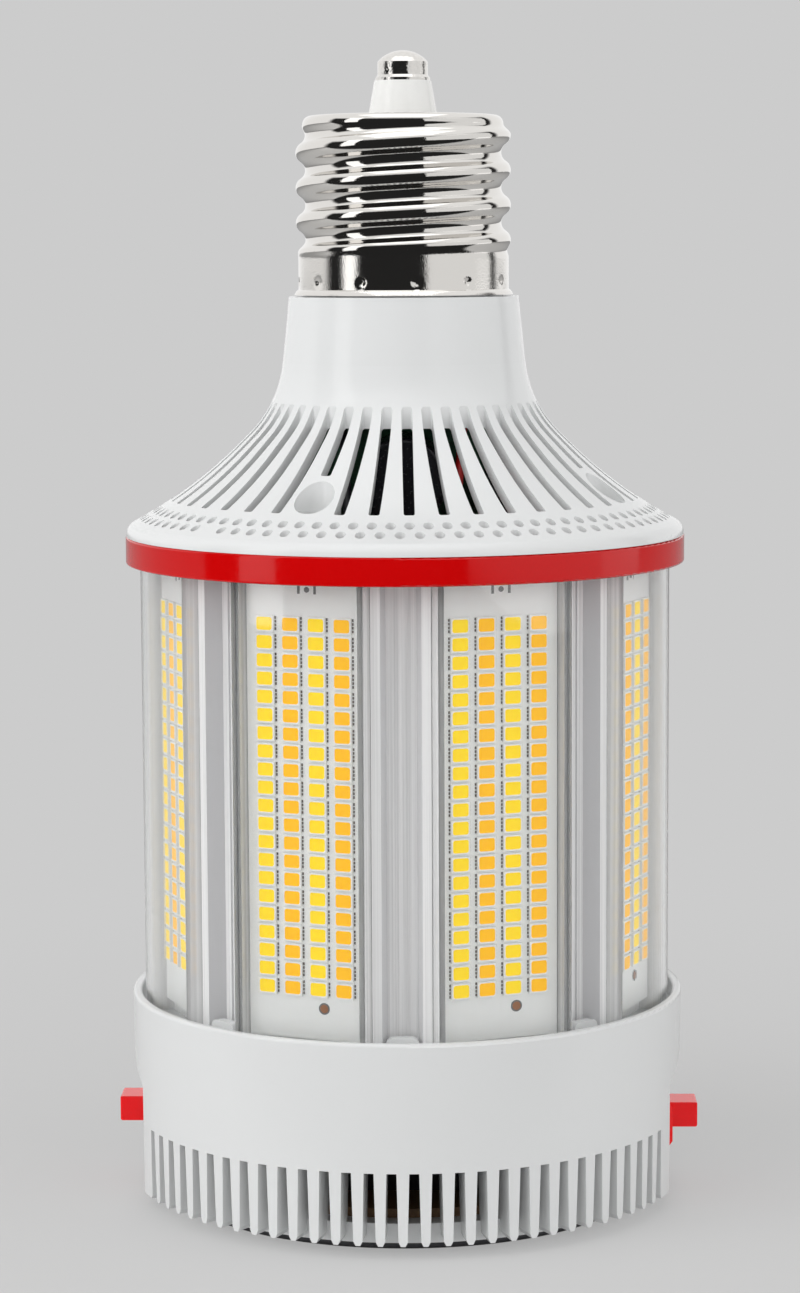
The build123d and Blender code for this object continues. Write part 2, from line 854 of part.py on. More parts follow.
def output_capacitors():
    cans = [
        standing_can(small_capacitor_radius, small_capacitor_length, across)
        for across in (-small_capacitor_offset, small_capacitor_offset)
    ]
    return Compound(children=cans)


def transformer():
    half = transformer_width / 2
    bottom = bracket_top + assembly_clearance
    level = (bottom, bottom + transformer_height)
    core = block((-half, half), (board_half, board_half + transformer_depth), level)
    middle = (level[0] + level[1]) / 2
    window = half - winding_inset
    bore_half = transformer_height / 2 - winding_inset / 2
    open_window = block((-window, window), (board_half, board_half + transformer_depth),
                        (middle - bore_half, middle + bore_half))
    bobbin = Pos(0, board_half + transformer_depth / 2, middle)
    wound = bobbin * Box(2 * window, transformer_depth + 2 * winding_bulge, 2 * bore_half)
    wound &= block((-window, window), (board_half, board_half + transformer_depth + winding_bulge), level)
    return core - open_window + wound


def choke():
    level = driver_top - choke_gap - choke_radius
    face = Plane((0, board_half, level), x_dir=(1, 0, 0), z_dir=(0, 1, 0))
    ring = Cylinder(choke_radius, choke_thickness, align=RISING)
    return face * (ring - Cylinder(choke_hole_radius, choke_thickness, align=RISING))


def filter_capacitor():
    half = filter_width / 2
    top = driver_top - filter_gap
    return block((-half, half), (-board_half - filter_depth, -board_half), (top - filter_height, top))


# Leads


def lead(points, radii):
    """An insulated wire along straight runs joined by round bends."""
    route = FilletPolyline(*points, radius=radii)
    start = Plane(origin=route @ 0, z_dir=route % 0)
    return sweep(start * Circle(lead_radius), path=route)


def contact_lead():
    """From the centre contact's rivet down to the top edge of the driver board."""
    top = shell_top - insulator_flange_height - shell_wall
    end = driver_top
    points = [(0, 0, top), (0, 0, top - 12), (6, 0, end + 10), (6, 0, end)]
    return lead(points, [8, 8])


def shell_lead():
    """From the inside of the screw shell down to the top edge of the driver board."""
    wall = thread_root_radius - shell_wall - lead_radius - running_clearance
    end = driver_top
    points = [(-wall, 0, end + 24), (-wall, 0, end + 17), (-9, 0, end + 8), (-9, 0, end)]
    return lead(points, [6, 6])


def led_lead(side):
    """From the driver board's front face to the top edge of the front LED board on one side."""
    seat = (seat_distance + board_face) / 2 + running_clearance
    end = Vector(-side * 8, -seat, 0).rotate(Axis.Z, side * panel_angle / 2)
    start = bracket_top + 20
    over = heat_sink_top + 3
    points = [
        (side * 11, -board_half, start),
        (side * 11, -12, start),
        (side * 9.5, 13 - seat_distance, over + 3),
        (end.X, end.Y, over),
        (end.X, end.Y, board_top),
    ]
    return lead(points, [6, 6, 2])


def control_lead():
    """From the selector board up through the heat sink to the driver board's back face."""
    away = fan_width / 2 + 3
    level = bracket_top + 21
    points = [
        (0, away, control_board_top),
        (0, away, heat_sink_top - 4),
        (4, 25, heat_sink_top + 19),
        (11, 12, level),
        (11, board_half, level),
    ]
    return lead(points, [12, 6, 5])


def solids():
    """Every piece of the lamp by its name."""
    pieces = {
        "centre_contact": centre_contact(),
        "base_insulator": base_insulator(),
        "screw_shell": screw_shell(),
        "upper_housing": upper_housing(),
        "housing_screws": housing_screws(),
        "trim_ring": trim_ring(),
        "heat_sink": heat_sink(),
        "lower_collar": lower_collar(),
        "collar_screws": collar_screws(),
        "end_plate": end_plate(),
        "control_board": control_board(),
        "fan_frame": fan_frame(),
        "fan_rotor": fan_rotor(),
        "fan_screws": fan_screws(),
        "driver_bracket": driver_bracket(),
        "driver_board": driver_board(),
        "bulk_capacitor": bulk_capacitor(),
        "output_capacitors": output_capacitors(),
        "transformer": transformer(),
        "choke": choke(),
        "filter_capacitor": filter_capacitor(),
        "contact_lead": contact_lead(),
        "shell_lead": shell_lead(),
        "led_lead_red": led_lead(1),
        "led_lead_black": led_lead(-1),
        "control_lead": control_lead(),
    }
    for number, azimuth in enumerate(panel_azimuths(), start=1):
        packages = [at_azimuth(azimuth, package) for package in led_packages()]
        pieces[f"led_board_{number}"] = at_azimuth(azimuth, led_board())
        pieces[f"led_packages_{number}"] = Compound(children=packages)
        pieces[f"lens_cover_{number}"] = at_azimuth(azimuth, lens_cover())
    for side, turn in (("right", 0), ("left", 180)):
        pieces[f"selector_switch_{side}"] = at_azimuth(turn, selector_switch())
        pieces[f"switch_slider_{side}"] = at_azimuth(turn, switch_slider())
        pieces[f"selector_knob_{side}"] = at_azimuth(turn, selector_knob())
    return pieces


os.makedirs("parts", exist_ok=True)
for name, piece in solids().items():
    export_step(piece, f"parts/{name}.step")
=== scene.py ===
import json
from math import cos, exp, pi, radians, sin, sqrt, tau

import bpy
from mathutils import Matrix, Vector


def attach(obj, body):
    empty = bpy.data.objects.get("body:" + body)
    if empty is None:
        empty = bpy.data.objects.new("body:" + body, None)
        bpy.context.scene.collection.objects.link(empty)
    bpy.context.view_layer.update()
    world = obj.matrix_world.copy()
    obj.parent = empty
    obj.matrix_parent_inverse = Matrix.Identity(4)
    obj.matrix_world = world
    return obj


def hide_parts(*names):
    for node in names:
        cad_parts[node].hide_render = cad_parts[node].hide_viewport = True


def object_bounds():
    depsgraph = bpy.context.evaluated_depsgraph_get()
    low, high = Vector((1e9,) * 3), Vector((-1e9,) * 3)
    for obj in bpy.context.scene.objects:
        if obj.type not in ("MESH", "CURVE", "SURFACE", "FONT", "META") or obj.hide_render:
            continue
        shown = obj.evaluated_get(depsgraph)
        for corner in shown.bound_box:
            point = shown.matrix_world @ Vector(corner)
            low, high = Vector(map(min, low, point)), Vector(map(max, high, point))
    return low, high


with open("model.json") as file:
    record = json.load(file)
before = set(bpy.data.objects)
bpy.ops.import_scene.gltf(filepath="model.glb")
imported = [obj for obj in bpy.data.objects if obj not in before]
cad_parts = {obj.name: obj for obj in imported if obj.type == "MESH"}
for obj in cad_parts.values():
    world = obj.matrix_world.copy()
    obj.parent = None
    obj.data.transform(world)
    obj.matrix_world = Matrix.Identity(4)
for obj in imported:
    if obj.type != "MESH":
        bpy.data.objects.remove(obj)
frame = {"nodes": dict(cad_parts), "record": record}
cad_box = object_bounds()
nodes = frame["nodes"]
MM = 0.001

# Camera, fitted to the photograph's 800 by 1293 pixel frame
IMAGE_HEIGHT = 1293
FOCAL_PIXELS = 3443.2
SENSOR = 36.0
CAMERA_PLACE = Vector((11.3, -636.1, 176.7)) * MM
CAMERA_TILT = radians(6.667)
CAMERA_TURN = radians(1.109)
CAMERA_ROLL = radians(-0.29)

# Stage tones: behind the object, as light on it, in what shines, and seen through the covers
BACKGROUND = 0.604
ROOM_LIGHT = 0.45
PALE_SHINE = 1.0
DARK_SHINE = 0.02
BEHIND_COVERS = 0.85

# Stage directions, and where each pale side fades in, as the cosine to its direction
UP = (0.0, 0.0, 1.0)
AHEAD = (0.0, -1.0, 0.0)
PALE_SIDE = (-0.259, 0.966, 0.0)
PALE_SIDE_EDGE = (0.20, 0.35)
PALE_TOP_EDGE = (0.45, 0.65)

# Floor, in metres
FLOOR_COLOUR = 0.71
FLOOR_HALF = 6.0
SHADOW_EDGE = (0.05, 0.30)
SHADOW_GLOW = 0.55
DARK_FLOOR_EDGE = (0.06, 0.12)

# Lamps: azimuth, elevation, distance, width, height, radiance, and whether what shines shows it
SOFTBOXES = {
    "right_softbox": (67.5, 4, 1.0, 1.8, 1.3, 0.85, True),
    "left_softbox": (-59.5, 12, 1.0, 0.3, 1.1, 1.4, True),
    "left_fill": (-60, 30, 1.2, 1.2, 1.2, 1.2, False),
    "overhead_softbox": (0, 80, 1.1, 1.0, 1.0, 0.6, True),
    "front_fill": (-10, 10, 1.6, 1.6, 1.6, 0.40, False),
}

# Plain finishes: colour, roughness, grain size and relief in mm, and what else differs
NICKEL = (0.74, 0.72, 0.69)
PLATED = {"variation": 0.01, "Metallic": 1.0}
GLOSSY_RED = {"variation": 0.02, "Specular_IOR_Level": 0.35}
# The phosphors glow though the LEDs are not lit: a painted glow that makes their yellow and orange
# brighter
PHOSPHOR_PAINTED_GLOW = {"variation": 0.06, "Specular_IOR_Level": 0.2, "Emission_Strength": 0.31}
FINISHES = {
    "nickel": (NICKEL, 0.06, 0.35, 0.005, PLATED),
    "nickel_skirt": (NICKEL, 0.07, 0.3, 0.02, PLATED),
    "contact_metal": (NICKEL, 0.10, 0.6, 0.07, {"Metallic": 1.0}),
    "insulator_white": ((0.92, 0.92, 0.90), 0.22, 1.5, 0.004, {"variation": 0.01}),
    "white_plastic": (
        (0.80, 0.81, 0.81), 0.18, 0.18, 0.0005, {"variation": 0.006, "gloss_variation": 0.02},
    ),
    "red_plastic": ((0.63, 0.0005, 0.001), 0.10, 0.5, 0.0005, GLOSSY_RED),
    "knob_red": ((0.92, 0.002, 0.006), 0.10, 0.5, 0.0005, GLOSSY_RED),
    "board_white": ((0.97, 0.97, 0.96), 0.35, 0.3, 0.003, {"variation": 0.02}),
    "led_phosphor": ((0.98, 0.66, 0.03), 0.40, 0.25, 0.004, {}),
    "dark_plastic": ((0.06, 0.06, 0.065), 0.45, 0.3, 0.01, {}),
    "black_plastic": ((0.015, 0.015, 0.017), 0.40, 0.3, 0.01, {}),
    "brown_board": ((0.20, 0.11, 0.05), 0.45, 0.4, 0.005, {"variation": 0.2}),
    "green_board": ((0.02, 0.10, 0.045), 0.35, 0.5, 0.005, {"variation": 0.2}),
    "steel": ((0.55, 0.54, 0.52), 0.32, 0.2, 0.004, {"Metallic": 1.0}),
    "capacitor_sleeve": ((0.015, 0.015, 0.02), 0.25, 0.6, 0.005, {}),
    "ferrite": ((0.05, 0.05, 0.055), 0.55, 0.3, 0.02, {"variation": 0.3}),
    "filter_case": ((0.22, 0.24, 0.27), 0.30, 0.5, 0.004, {}),
    "switch_case": ((0.02, 0.02, 0.02), 0.45, 0.3, 0.01, {}),
    "black_wire": ((0.01, 0.01, 0.015), 0.40, 0.4, 0.01, {}),
    "white_wire": ((0.75, 0.75, 0.73), 0.40, 0.4, 0.01, {}),
    "red_wire": ((0.55, 0.01, 0.01), 0.40, 0.4, 0.01, {}),
    "package_white": ((0.98, 0.98, 0.96), 0.35, 0.2, 0.003, {"variation": 0.01}),
    # Yellow and orange phosphor, each with the painted glow given above
    "phosphor_yellow": (
        (1.0, 0.72, 0.01), 0.40, 0.7, 0.006, {**PHOSPHOR_PAINTED_GLOW, "Emission_Color": (1.0, 0.60, 0.0, 1)},
    ),
    "phosphor_orange": (
        (1.0, 0.53, 0.0), 0.40, 0.7, 0.006, {**PHOSPHOR_PAINTED_GLOW, "Emission_Color": (1.0, 0.42, 0.0, 1)},
    ),
    # Solder points: the terminals are real, their dark tone is painted shade at the packages' sides
    "solder_and_shade": ((0.16, 0.14, 0.13), 0.35, 0.15, 0.03, {"variation": 0.3, "Metallic": 1.0}),
    "copper": ((0.34, 0.14, 0.06), 0.35, 0.2, 0.003, {"Metallic": 0.5}),
    "pad_grey": ((0.16, 0.16, 0.16), 0.40, 0.2, 0.003, {"variation": 0.2}),
}
NOISE_MIDDLE = (0.3, 0.7)
NOISE_DETAIL = 3.0

# Extruded pieces: lines along them, and walls told apart by how far they face out from the axis
ALONG = (1, 1, 0.004)
LEVEL = (1, 1, 0)
SIDE_WALL = 0.4
FRONT_WALL = 0.7
ALUMINIUM_GRAIN = 0.35 * MM
ALUMINIUM_RELIEF = 0.02 * MM
ALUMINIUM_FACE = ((0.79, 0.79, 0.79), (1.0, 1.0, 1.0))
# Base colour of the channels' side walls: painted shade, darker than the faces
ALUMINIUM_WALL_SHADE = (0.70, 0.70, 0.71)
ALUMINIUM_ROUGHNESS = (0.31, 0.39)
ALUMINIUM_METAL = 0.08
COVER_GRAIN = 0.6 * MM
COVER_RELIEF = 0.004 * MM
COVER_COLOUR = (0.98, 0.99, 0.99, 1)
COVER_IOR = 1.49
COVER_ROUGHNESS = (0.25, 0.02)
# Share of milky white on the side walls and on the faces, and its tones: a painted reflection on
# the edge-on walls
COVER_GLARE_SHARE = (0.65, 0.0)
COVER_PAINTED_GLARE = ((0.70, 0.70, 0.70), (0.98, 0.98, 0.98))
COVER_SHADOW = (0.97, 0.98, 0.98, 1)

# LED boards
PANEL_COUNT = 8
BOARD_FACE = 43.8 * MM
BOARD_TOP = 121.5 * MM
COLUMNS = 4
ROWS = 21
COLUMN_PITCH = 4.905 * MM
ROW_PITCH = 3.22 * MM
FIRST_ROW = 10.5 * MM
PACKAGE_WIDTH = 3.5 * MM
PACKAGE_LENGTH = 2.8 * MM
PACKAGE_HEIGHT = 0.67 * MM
PHOSPHOR_WIDTH = 2.95 * MM
PHOSPHOR_LENGTH = 2.3 * MM
PHOSPHOR_CORNER = 0.38 * MM
PHOSPHOR_CORNER_POINTS = 3
PHOSPHOR_SINK = 0.08 * MM
TERMINAL_REACH = 0.26 * MM
TERMINAL_HEIGHT = 0.1 * MM
TERMINAL_LENGTH = 2.3 * MM
TERMINAL_TEETH = 4
TOOTH_STRETCH = 1.4
MARK_HEIGHT = 0.04 * MM
MARK_POINTS = 24
FIDUCIAL_PLACE = (3.3 * MM, 43.1 * MM)
FIDUCIAL_RADIUS = 0.75 * MM
FIDUCIAL_RING = 1.05 * MM
PAD_PLACE = (0.5 * MM, 117.1 * MM)
PAD_SPREAD = 1.55 * MM
PAD_SIZE = (0.5 * MM, 1.5 * MM)
PAD_RING_RADIUS = 0.5 * MM

# Screw shell
SHELL_BOTTOM = 167.5 * MM
SHELL_TOP = 200.0 * MM
SHELL_WALL = 0.6 * MM
SHELL_HOLE = 6.35 * MM
SHELL_COLUMNS = 360
SHELL_STEP = 0.25 * MM
SHARP_ANGLE = radians(50)
THREAD_ROOT = 17.95 * MM
THREAD_CREST = 19.7 * MM
THREAD_PITCH = 6.35 * MM
THREAD_DEPTH = THREAD_CREST - THREAD_ROOT
THREAD_ROUND = THREAD_PITCH**2 / (16 * THREAD_DEPTH) + THREAD_DEPTH / 4
THREAD_START = 177.4 * MM
RUN_IN_DROP = 1.2 * MM
RUN_IN_LENGTH = 3.2 * MM
RUN_OUT_DROP = 3.4 * MM
RUN_OUT_LENGTH = 2.2 * MM
END_RADIUS = THREAD_ROOT + 0.4 * MM
TOP_ROUNDING = 1.5 * MM
TOP_ROUNDING_STEPS = 6
SKIRT_RADIUS = 19.3 * MM
SKIRT_TOP = 175.4 * MM
SKIRT_INSIDE = SKIRT_RADIUS - 2 * SHELL_WALL
RIM_RADIUS = 20.1 * MM
RIM_HEIGHT = 0.9 * MM
DIMPLE_COUNT = 12
DIMPLE_LEVEL = 169.8 * MM
DIMPLE_AZIMUTH = radians(7.8)
DIMPLE_RADIUS = 0.6 * MM
DIMPLE_DEPTH = 0.4 * MM


# Node helpers


def grey(tone):
    return (tone, tone, tone)


def feed(tree, socket, value):
    """Links a socket to an output, or sets it to a plain value."""
    if isinstance(value, bpy.types.NodeSocket):
        tree.links.new(value, socket)
    else:
        socket.default_value = value


def feed_named(tree, node, **values):
    """Feeds a node's sockets by name, with _ for a space."""
    for name, value in values.items():
        feed(tree, node.inputs[name.replace("_", " ")], value)


def make_node(tree, kind, *values, **settings):
    """A new node with its settings, whose first sockets get the values."""
    node = tree.nodes.new(f"ShaderNode{kind}")
    for name, setting in settings.items():
        setattr(node, name, setting)
    for socket, value in zip(node.inputs, values):
        feed(tree, socket, value)
    return node


def scalar_math(tree, operation, *values, **settings):
    return make_node(tree, "Math", *values, operation=operation, **settings).outputs["Value"]


def vector_math(tree, operation, *values):
    return make_node(tree, "VectorMath", *values, operation=operation).outputs["Vector"]


def vector_scalar(tree, operation, *values):
    return make_node(tree, "VectorMath", *values, operation=operation).outputs["Value"]


def rescale(tree, value, start, end, low=0.0, high=1.0, curve="LINEAR"):
    """Carries one range of a value over to another, held at both ends."""
    values = (value, start, end, low, high)
    return make_node(tree, "MapRange", *values, interpolation_type=curve).outputs["Result"]


def share_towards(tree, place, direction, edge):
    """0 to 1 across the edge of the side that lies in a direction."""
    share = vector_scalar(tree, "DOT_PRODUCT", place, direction)
    return rescale(tree, share, *edge, curve="SMOOTHSTEP")


def mix_colours(tree, factor, first, second):
    """Mixes two colours, each an output or three plain values, by a factor from 0 to 1."""
    node = make_node(tree, "Mix", data_type="RGBA")
    for name, colour in (("A", first), ("B", second)):
        feed(tree, node.inputs[name], (*colour, 1) if isinstance(colour, tuple) else colour)
    feed(tree, node.inputs["Factor"], factor)
    return node.outputs["Result"]


def mix_shaders(tree, factor, first, second):
    return make_node(tree, "MixShader", factor, first, second).outputs["Shader"]


def show(tree, shader):
    tree.links.new(shader, tree.nodes["Material Output"].inputs["Surface"])


# Finishes


def start_material(name):
    material = bpy.data.materials.new(name)
    material.use_nodes = True
    return material, material.node_tree, material.node_tree.nodes["Principled BSDF"]


def grain(tree, size, stretch=(1, 1, 1)):
    """Noise of a real grain size in metres, drawn out along an axis where its stretch is small."""
    place = make_node(tree, "TexCoord").outputs["Object"]
    mapping = make_node(tree, "Mapping", place)
    mapping.inputs["Scale"].default_value = stretch
    noise = make_node(tree, "TexNoise", mapping.outputs["Vector"])
    feed_named(tree, noise, Scale=1 / size, Detail=NOISE_DETAIL)
    return noise.outputs["Fac"]


def spread(tree, value, low, high):
    """Spreads the middle of a noise value over a range."""
    return rescale(tree, value, *NOISE_MIDDLE, low, high)


def relief(tree, value, height):
    """A bump from a value, as high as a real height in metres."""
    bump = make_node(tree, "Bump")
    feed_named(tree, bump, Distance=height, Height=value)
    return bump.outputs["Normal"]


def surface(name, colour, roughness, size, height, variation=0.04, gloss_variation=0.04, **sockets):
    """A finish whose tone, gloss and relief follow one grain of a real size."""
    material, tree, shader = start_material(name)
    value = grain(tree, size)
    dark = tuple(c * (1 - variation) for c in colour)
    light = tuple(min(1, c * (1 + variation)) for c in colour)
    feed_named(
        tree, shader,
        Base_Color=mix_colours(tree, spread(tree, value, 0, 1), dark, light),
        Roughness=spread(tree, value, roughness - gloss_variation, roughness + gloss_variation),
        Normal=relief(tree, value, height),
        **sockets,
    )
    return material


def facing_out(tree):
    """0 on walls that run in from the lamp's outside to its axis, and 1 on those that face out."""
    place = make_node(tree, "TexCoord").outputs
    outward = vector_math(tree, "NORMALIZE", vector_math(tree, "MULTIPLY", place["Object"], LEVEL))
    share = vector_scalar(tree, "DOT_PRODUCT", outward, place["Normal"])
    return rescale(tree, scalar_math(tree, "ABSOLUTE", share), SIDE_WALL, FRONT_WALL)


def extruded_aluminium(name):
    """Bare extrusion with fine lines along it, whose channels' side walls are painted darker as
    shade.
    """
    material, tree, shader = start_material(name)
    lines = grain(tree, ALUMINIUM_GRAIN, ALONG)
    face = mix_colours(tree, spread(tree, lines, 0, 1), *ALUMINIUM_FACE)
    feed_named(
        tree, shader,
        # Painted shade: the side walls take the darker wall colour, the faces the lined one
        Base_Color=mix_colours(tree, facing_out(tree), ALUMINIUM_WALL_SHADE, face),
        Roughness=spread(tree, lines, *ALUMINIUM_ROUGHNESS),
        Normal=relief(tree, lines, ALUMINIUM_RELIEF),
        Metallic=ALUMINIUM_METAL,
    )
    return material


def clear_plastic(name):
    """Clear extrusion whose side walls get a painted milky white in place of the brightness of
    clear walls seen edge-on, and that lets the lamps through to what it covers.
    """
    material, tree, shader = start_material(name)
    lines = grain(tree, COVER_GRAIN, ALONG)
    facing = facing_out(tree)
    feed_named(
        tree, shader,
        Base_Color=COVER_COLOUR,
        Transmission_Weight=1.0,
        IOR=COVER_IOR,
        Roughness=rescale(tree, facing, 0, 1, *COVER_ROUGHNESS),
        Normal=relief(tree, lines, COVER_RELIEF),
    )
    # Painted reflection: a lit milky white on the side walls in place of what clear walls show
    # edge-on
    glare_tone = mix_colours(tree, spread(tree, lines, 0, 1), *COVER_PAINTED_GLARE)
    painted_glare = make_node(tree, "BsdfDiffuse", glare_tone).outputs["BSDF"]
    glare_share = rescale(tree, facing, 0, 1, *COVER_GLARE_SHARE)
    walls = mix_shaders(tree, glare_share, shader.outputs["BSDF"], painted_glare)
    clear = make_node(tree, "BsdfTransparent", COVER_SHADOW).outputs["BSDF"]
    in_shadow = make_node(tree, "LightPath").outputs["Is Shadow Ray"]
    show(tree, mix_shaders(tree, in_shadow, walls, clear))
    return material


def make_materials():
    """One finish for each of the record's slots, and those of the added pieces."""
    materials = {
        name: surface(name, colour, roughness, size * MM, height * MM, **settings)
        for name, (colour, roughness, size, height, settings) in FINISHES.items()
    }
    materials["bare_aluminium"] = extruded_aluminium("bare_aluminium")
    materials["clear_cover"] = clear_plastic("clear_cover")
    return materials


def dress_frame(materials):
    """Gives each CAD node the finish of its slot, and a few a finish of their own."""
    for part in frame["record"]["subparts"]:
        mesh = nodes[part["node"]].data
        mesh.materials.clear()
        mesh.materials.append(materials[part["material_slot"]])
    nodes["centre_contact"].data.materials[0] = materials["contact_metal"]
    for side in ("right", "left"):
        nodes[f"selector_knob_{side}"].data.materials[0] = materials["knob_red"]


# Mesh helpers


class Builder:
    """Gathers corners and faces, with a material for each face, into one mesh."""

    def __init__(self, *materials):
        self.corners = []
        self.faces = []
        self.kinds = []
        self.materials = materials

    def face(self, corners, kind=0):
        start = len(self.corners)
        self.corners += corners
        self.faces.append(tuple(range(start, start + len(corners))))
        self.kinds.append(kind)

    def piece(self, name, body, slot, smooth=False):
        mesh = bpy.data.meshes.new(name)
        mesh.from_pydata([tuple(c) for c in self.corners], [], self.faces)
        for material in self.materials:
            mesh.materials.append(material)
        mesh.polygons.foreach_set("material_index", self.kinds)
        mesh.polygons.foreach_set("use_smooth", [smooth] * len(self.faces))
        mesh.update()
        made = bpy.data.objects.new(name, mesh)
        bpy.context.scene.collection.objects.link(made)
        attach(made, body)
        return made


def box_faces(low, high):
    """The five outer faces of a box that stands on the board: its top, then its four sides."""
    x0, y0, z0 = low
    x1, y1, z1 = high
    top = [(x0, y1, z0), (x1, y1, z0), (x1, y1, z1), (x0, y1, z1)]
    foot = [(x, y0, z) for x, _, z in top]
    sides = [[foot[i], foot[(i + 1) % 4], top[(i + 1) % 4], top[i]] for i in range(4)]
    return [top, *sides]


# LED packages

CASE, YELLOW, ORANGE, SOLDER_AND_SHADE = range(4)
ARRAY_FINISHES = ("package_white", "phosphor_yellow", "phosphor_orange", "solder_and_shade")
COPPER, PAD = range(2)


def on_panel(number, across, out, level):
    """A point of a panel, from its distance across, out from the axis and up."""
    azimuth = tau / PANEL_COUNT * (number - 0.5)
    return (
        out * sin(azimuth) + across * cos(azimuth),
        -out * cos(azimuth) + across * sin(azimuth),
        level,
    )


def rounded_outline(width, length, corner, steps):
    """The points of a rectangle with rounded corners, one list for each corner."""
    corners = []
    for index, (x, z) in enumerate(((1, 1), (-1, 1), (-1, -1), (1, -1))):
        middle = (x * (width / 2 - corner), z * (length / 2 - corner))
        turns = [pi / 2 * (index + step / (steps - 1)) for step in range(steps)]
        corners.append([(middle[0] + corner * cos(t), middle[1] + corner * sin(t)) for t in turns])
    return corners


PHOSPHOR_OUTLINE = rounded_outline(
    PHOSPHOR_WIDTH, PHOSPHOR_LENGTH, PHOSPHOR_CORNER, PHOSPHOR_CORNER_POINTS,
)


def at_height(points, out):
    """Points of a board, given across and up, at a height above it."""
    return [(x, out, z) for x, z in points]


def led_case(add, across, level, phosphor):
    """A white case with sunk phosphor."""
    right, left = across + PACKAGE_WIDTH / 2, across - PACKAGE_WIDTH / 2
    high, low = level + PACKAGE_LENGTH / 2, level - PACKAGE_LENGTH / 2
    case = [(right, high), (left, high), (left, low), (right, low)]
    lip = [[(across + x, level + z) for x, z in corner] for corner in PHOSPHOR_OUTLINE]
    edge = [point for corner in lip for point in corner]
    top, sunk = PACKAGE_HEIGHT, PACKAGE_HEIGHT - PHOSPHOR_SINK
    for i in range(4):
        j = (i + 1) % 4
        add(at_height([case[i], case[j]], 0) + at_height([case[j], case[i]], top), CASE)
        add(at_height([case[i], *reversed(lip[i])], top), CASE)
        add(at_height([case[j], case[i], lip[i][-1], lip[j][0]], top), CASE)
    for i, point in enumerate(edge):
        following = edge[(i + 1) % len(edge)]
        add(at_height([point, following], top) + at_height([following, point], sunk), CASE)
    add(at_height(edge, sunk), phosphor)


def led_terminals(add, across, level):
    """A row of solder points along the two sides of a case, dark with painted shade where the
    case's sides lie in shadow.
    """
    tooth = TERMINAL_LENGTH / (2 * TERMINAL_TEETH - 1)
    for side in (-1, 1):
        inner = across + side * (PACKAGE_WIDTH / 2)
        outer = across + side * (PACKAGE_WIDTH / 2 + TERMINAL_REACH)
        left, right = sorted((inner, outer))
        for index in range(TERMINAL_TEETH):
            low = level - TERMINAL_LENGTH / 2 + 2 * index * tooth
            high = low + TOOTH_STRETCH * tooth
            # Solder teeth in the dark tone, which paints the shade at the case's sides
            for face in box_faces((left, 0, low), (right, TERMINAL_HEIGHT, high)):
                add(face, SOLDER_AND_SHADE)


def led_array(number, materials):
    """The packages of one board, with two tones of phosphor in turn."""
    made = Builder(*[materials[name] for name in ARRAY_FINISHES])

    def add(corners, kind):
        made.face([on_panel(number, x, BOARD_FACE + out, z) for x, out, z in corners], kind)

    for column in range(COLUMNS):
        across = (column - (COLUMNS - 1) / 2) * COLUMN_PITCH
        for row in range(ROWS):
            level = BOARD_TOP - FIRST_ROW - row * ROW_PITCH
            led_case(add, across, level, (YELLOW, ORANGE)[column % 2])
            led_terminals(add, across, level)
    piece = made.piece(f"led_array_{number}", "lamp", "led_phosphor")
    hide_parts(f"led_packages_{number}")


def disc(middle, radius):
    turns = [tau * i / MARK_POINTS for i in range(MARK_POINTS)]
    return [(middle[0] + radius * cos(t), middle[1] + radius * sin(t)) for t in turns]


def board_marks(number, materials):
    """The bare copper dot near a board's foot and the pads of its lead near its top."""
    made = Builder(materials["copper"], materials["pad_grey"])

    def plate(points, kind, height=MARK_HEIGHT):
        top = [on_panel(number, x, BOARD_FACE + height, z) for x, z in points]
        foot = [on_panel(number, x, BOARD_FACE, z) for x, z in points]
        made.face(top, kind)
        for i in range(len(points)):
            j = (i + 1) % len(points)
            made.face([foot[i], foot[j], top[j], top[i]], kind)

    plate(disc(FIDUCIAL_PLACE, FIDUCIAL_RING), PAD)
    plate(disc(FIDUCIAL_PLACE, FIDUCIAL_RADIUS), COPPER, 2 * MARK_HEIGHT)
    plate(disc(PAD_PLACE, PAD_RING_RADIUS), PAD)
    for side in (-1, 1):
        x, z = PAD_PLACE[0] + side * PAD_SPREAD, PAD_PLACE[1]
        w, h = PAD_SIZE[0] / 2, PAD_SIZE[1] / 2
        plate([(x + w, z + h), (x - w, z + h), (x - w, z - h), (x + w, z - h)], PAD)
    made.piece(f"board_marks_{number}", "lamp", "board_white")


# Screw shell


def smooth_step(t):
    t = min(1, max(0, t))
    return t * t * (3 - 2 * t)


def thread_radius(azimuth, level):
    """The rolled shell's outer radius at an azimuth and level."""
    turn = (azimuth - pi / 2) / tau
    phase = (level - THREAD_START) / THREAD_PITCH - turn
    off_crest = abs((phase + 0.5) % 1 - 0.5) * THREAD_PITCH
    off_root = THREAD_PITCH / 2 - off_crest
    if off_crest < off_root:
        radius = THREAD_CREST - THREAD_ROUND + sqrt(THREAD_ROUND**2 - off_crest**2)
    else:
        radius = THREAD_ROOT + THREAD_ROUND - sqrt(THREAD_ROUND**2 - off_root**2)
    start = smooth_step((level - SKIRT_TOP + RUN_IN_DROP) / RUN_IN_LENGTH)
    radius = SKIRT_RADIUS + (radius - SKIRT_RADIUS) * start
    end = smooth_step((level - SHELL_TOP + RUN_OUT_DROP) / RUN_OUT_LENGTH)
    radius += (END_RADIUS - radius) * end
    rim = max(0, 1 - (level - SHELL_BOTTOM) / RIM_HEIGHT)
    radius += (RIM_RADIUS - SKIRT_RADIUS) * rim**0.5
    turn_to_dimple = (azimuth - DIMPLE_AZIMUTH) % (tau / DIMPLE_COUNT)
    turn_to_dimple = min(turn_to_dimple, tau / DIMPLE_COUNT - turn_to_dimple)
    away = (turn_to_dimple * SKIRT_RADIUS) ** 2 + (level - DIMPLE_LEVEL) ** 2
    return radius - DIMPLE_DEPTH * exp(-away / DIMPLE_RADIUS**2)


